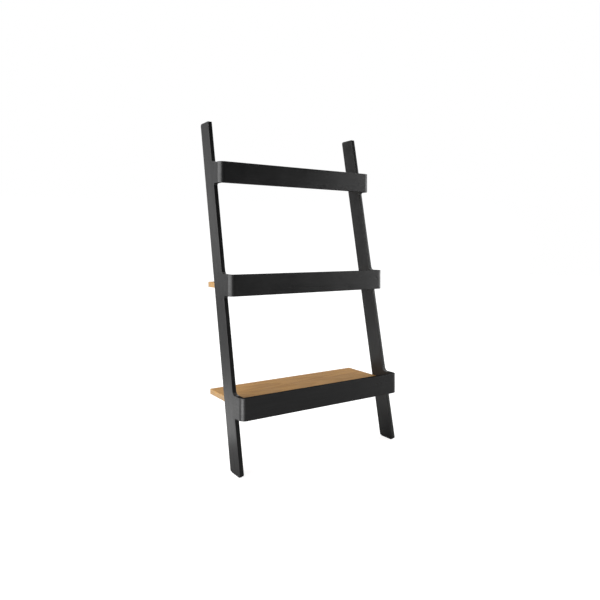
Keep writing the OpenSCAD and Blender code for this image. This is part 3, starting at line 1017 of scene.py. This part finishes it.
def softbox(name, centre, aim, size, watts):
    """A rectangular area light at centre that faces aim, and that the camera doesn't see."""
    light = bpy.data.lights.new(name, "AREA")
    light.shape = "RECTANGLE"
    light.size, light.size_y = size
    light.energy = watts
    lamp = bpy.data.objects.new(name, light)
    ahead = unit(np.array(aim) - np.array(centre))
    lamp.rotation_euler = (math.acos(-ahead[2]), 0.0, math.atan2(ahead[1], ahead[0]) - math.pi / 2)
    lamp.location = centre
    lamp.visible_camera = False
    bpy.context.scene.collection.objects.link(lamp)


def studio_room(studio):
    """Room light by direction: the larger of a level and a sky, times a roof.

    The level is bright behind, dimmer at the sides and in front, and less above eye level. The
    sky is bright overhead and fades toward the front. The roof darkens what lies high up before
    the shelf. The camera sees the room as white.
    """
    behind, roof_middle = (0.26, 0.966, 0.0), (0.0, -0.85, 0.53)
    world = bpy.data.worlds.new("studio_room")
    world.use_nodes = True
    bpy.context.scene.world = world
    n = Nodes(world.node_tree)
    background = world.node_tree.nodes["Background"]
    toward = n.add("TexCoord").outputs["Generated"]
    back, up = n.add("SeparateXYZ", {0: toward}).outputs[1:]

    def facing(direction):
        sockets = {0: toward, 1: direction}
        return n.add("VectorMath", sockets, operation="DOT_PRODUCT").outputs["Value"]

    front_share = studio.front_glow / studio.side_glow
    level = n.between(facing(behind), 0.56, 0.82, studio.side_glow, studio.back_glow)
    level = n.math("MULTIPLY", level, n.between(back, -0.9, -0.4, front_share, 1.0))
    overhead = n.between(up, 0.25, 0.75)
    sky = n.math("MULTIPLY", overhead, n.between(back, -0.5, 0.1, 0.0, studio.sky_glow))
    roof = n.between(facing(roof_middle), 0.72, 0.92, 1.0, studio.roof_glow)
    level = n.math("MULTIPLY", level, n.between(up, 0.0, 0.3, 1.0, studio.high_glow))
    light = n.math("MULTIPLY", n.math("MAXIMUM", level, sky), roof)
    seen = n.add("LightPath").outputs["Is Camera Ray"]
    n.put(background.inputs["Color"], WHITE)
    n.put(background.inputs["Strength"], n.math("MAXIMUM", light, seen))


class SHELF_OT_studio(Operator):
    """Set up the floor, the soft light and the camera"""

    bl_idname = "shelf.studio"
    bl_label = "Studio"

    def execute(self, context):
        scene = context.scene
        studio = scene.shelf_studio
        studio_floor(studio)
        studio_room(studio)
        for name, (centre, aim, size) in SOFTBOXES.items():
            softbox(name, centre, aim, size, getattr(studio, name))
        camera = bpy.data.cameras.new("camera")
        camera.lens, camera.sensor_width, camera.shift_y = studio.lens, SENSOR, studio.drop
        stand = bpy.data.objects.new("camera", camera)
        stand.location = studio.eye
        stand.rotation_euler = (math.pi / 2, 0.0, -studio.heading)
        scene.collection.objects.link(stand)
        scene.camera = stand
        scene.view_settings.view_transform = "Standard"
        return {"FINISHED"}


class SHELF_PT_panel(Panel):
    """Lists the steps and their sizes"""

    bl_idname = "SHELF_PT_panel"
    bl_label = "Ladder shelf"
    bl_space_type = "VIEW_3D"
    bl_region_type = "UI"
    bl_category = "Shelf"

    def draw(self, context):
        layout = self.layout
        for step in STEPS:
            layout.operator(step.bl_idname)
        for kind, group in GROUPS_OF_VALUES.items():
            box = layout.box()
            box.label(text=kind.removeprefix("shelf_").capitalize())
            for key in group.__annotations__:
                box.prop(getattr(context.scene, kind), key)


STEPS = (
    SHELF_OT_posts, SHELF_OT_bands, SHELF_OT_boards, SHELF_OT_dowels,
    SHELF_OT_cams, SHELF_OT_feet, SHELF_OT_brackets, SHELF_OT_studio,
)
GROUPS_OF_VALUES = {
    "shelf_shape": ShelfShape, "shelf_finish": ShelfFinish, "shelf_studio": ShelfStudio,
}


def register():
    """Adds the value groups, the steps and the panel."""
    for kind, group in GROUPS_OF_VALUES.items():
        bpy.utils.register_class(group)
        setattr(bpy.types.Scene, kind, PointerProperty(type=group))
    for step in STEPS:
        bpy.utils.register_class(step)
    bpy.utils.register_class(SHELF_PT_panel)


def unregister():
    """Takes them away again."""
    bpy.utils.unregister_class(SHELF_PT_panel)
    for step in reversed(STEPS):
        bpy.utils.unregister_class(step)
    for kind, group in GROUPS_OF_VALUES.items():
        delattr(bpy.types.Scene, kind)
        bpy.utils.unregister_class(group)


def main():
    """Runs every step."""
    register()
    bpy.ops.shelf.posts()
    bpy.ops.shelf.bands()
    bpy.ops.shelf.boards()
    bpy.ops.shelf.dowels()
    bpy.ops.shelf.cams()
    bpy.ops.shelf.feet()
    bpy.ops.shelf.brackets()
    bpy.ops.shelf.studio()


if __name__ == "__main__":
    main()
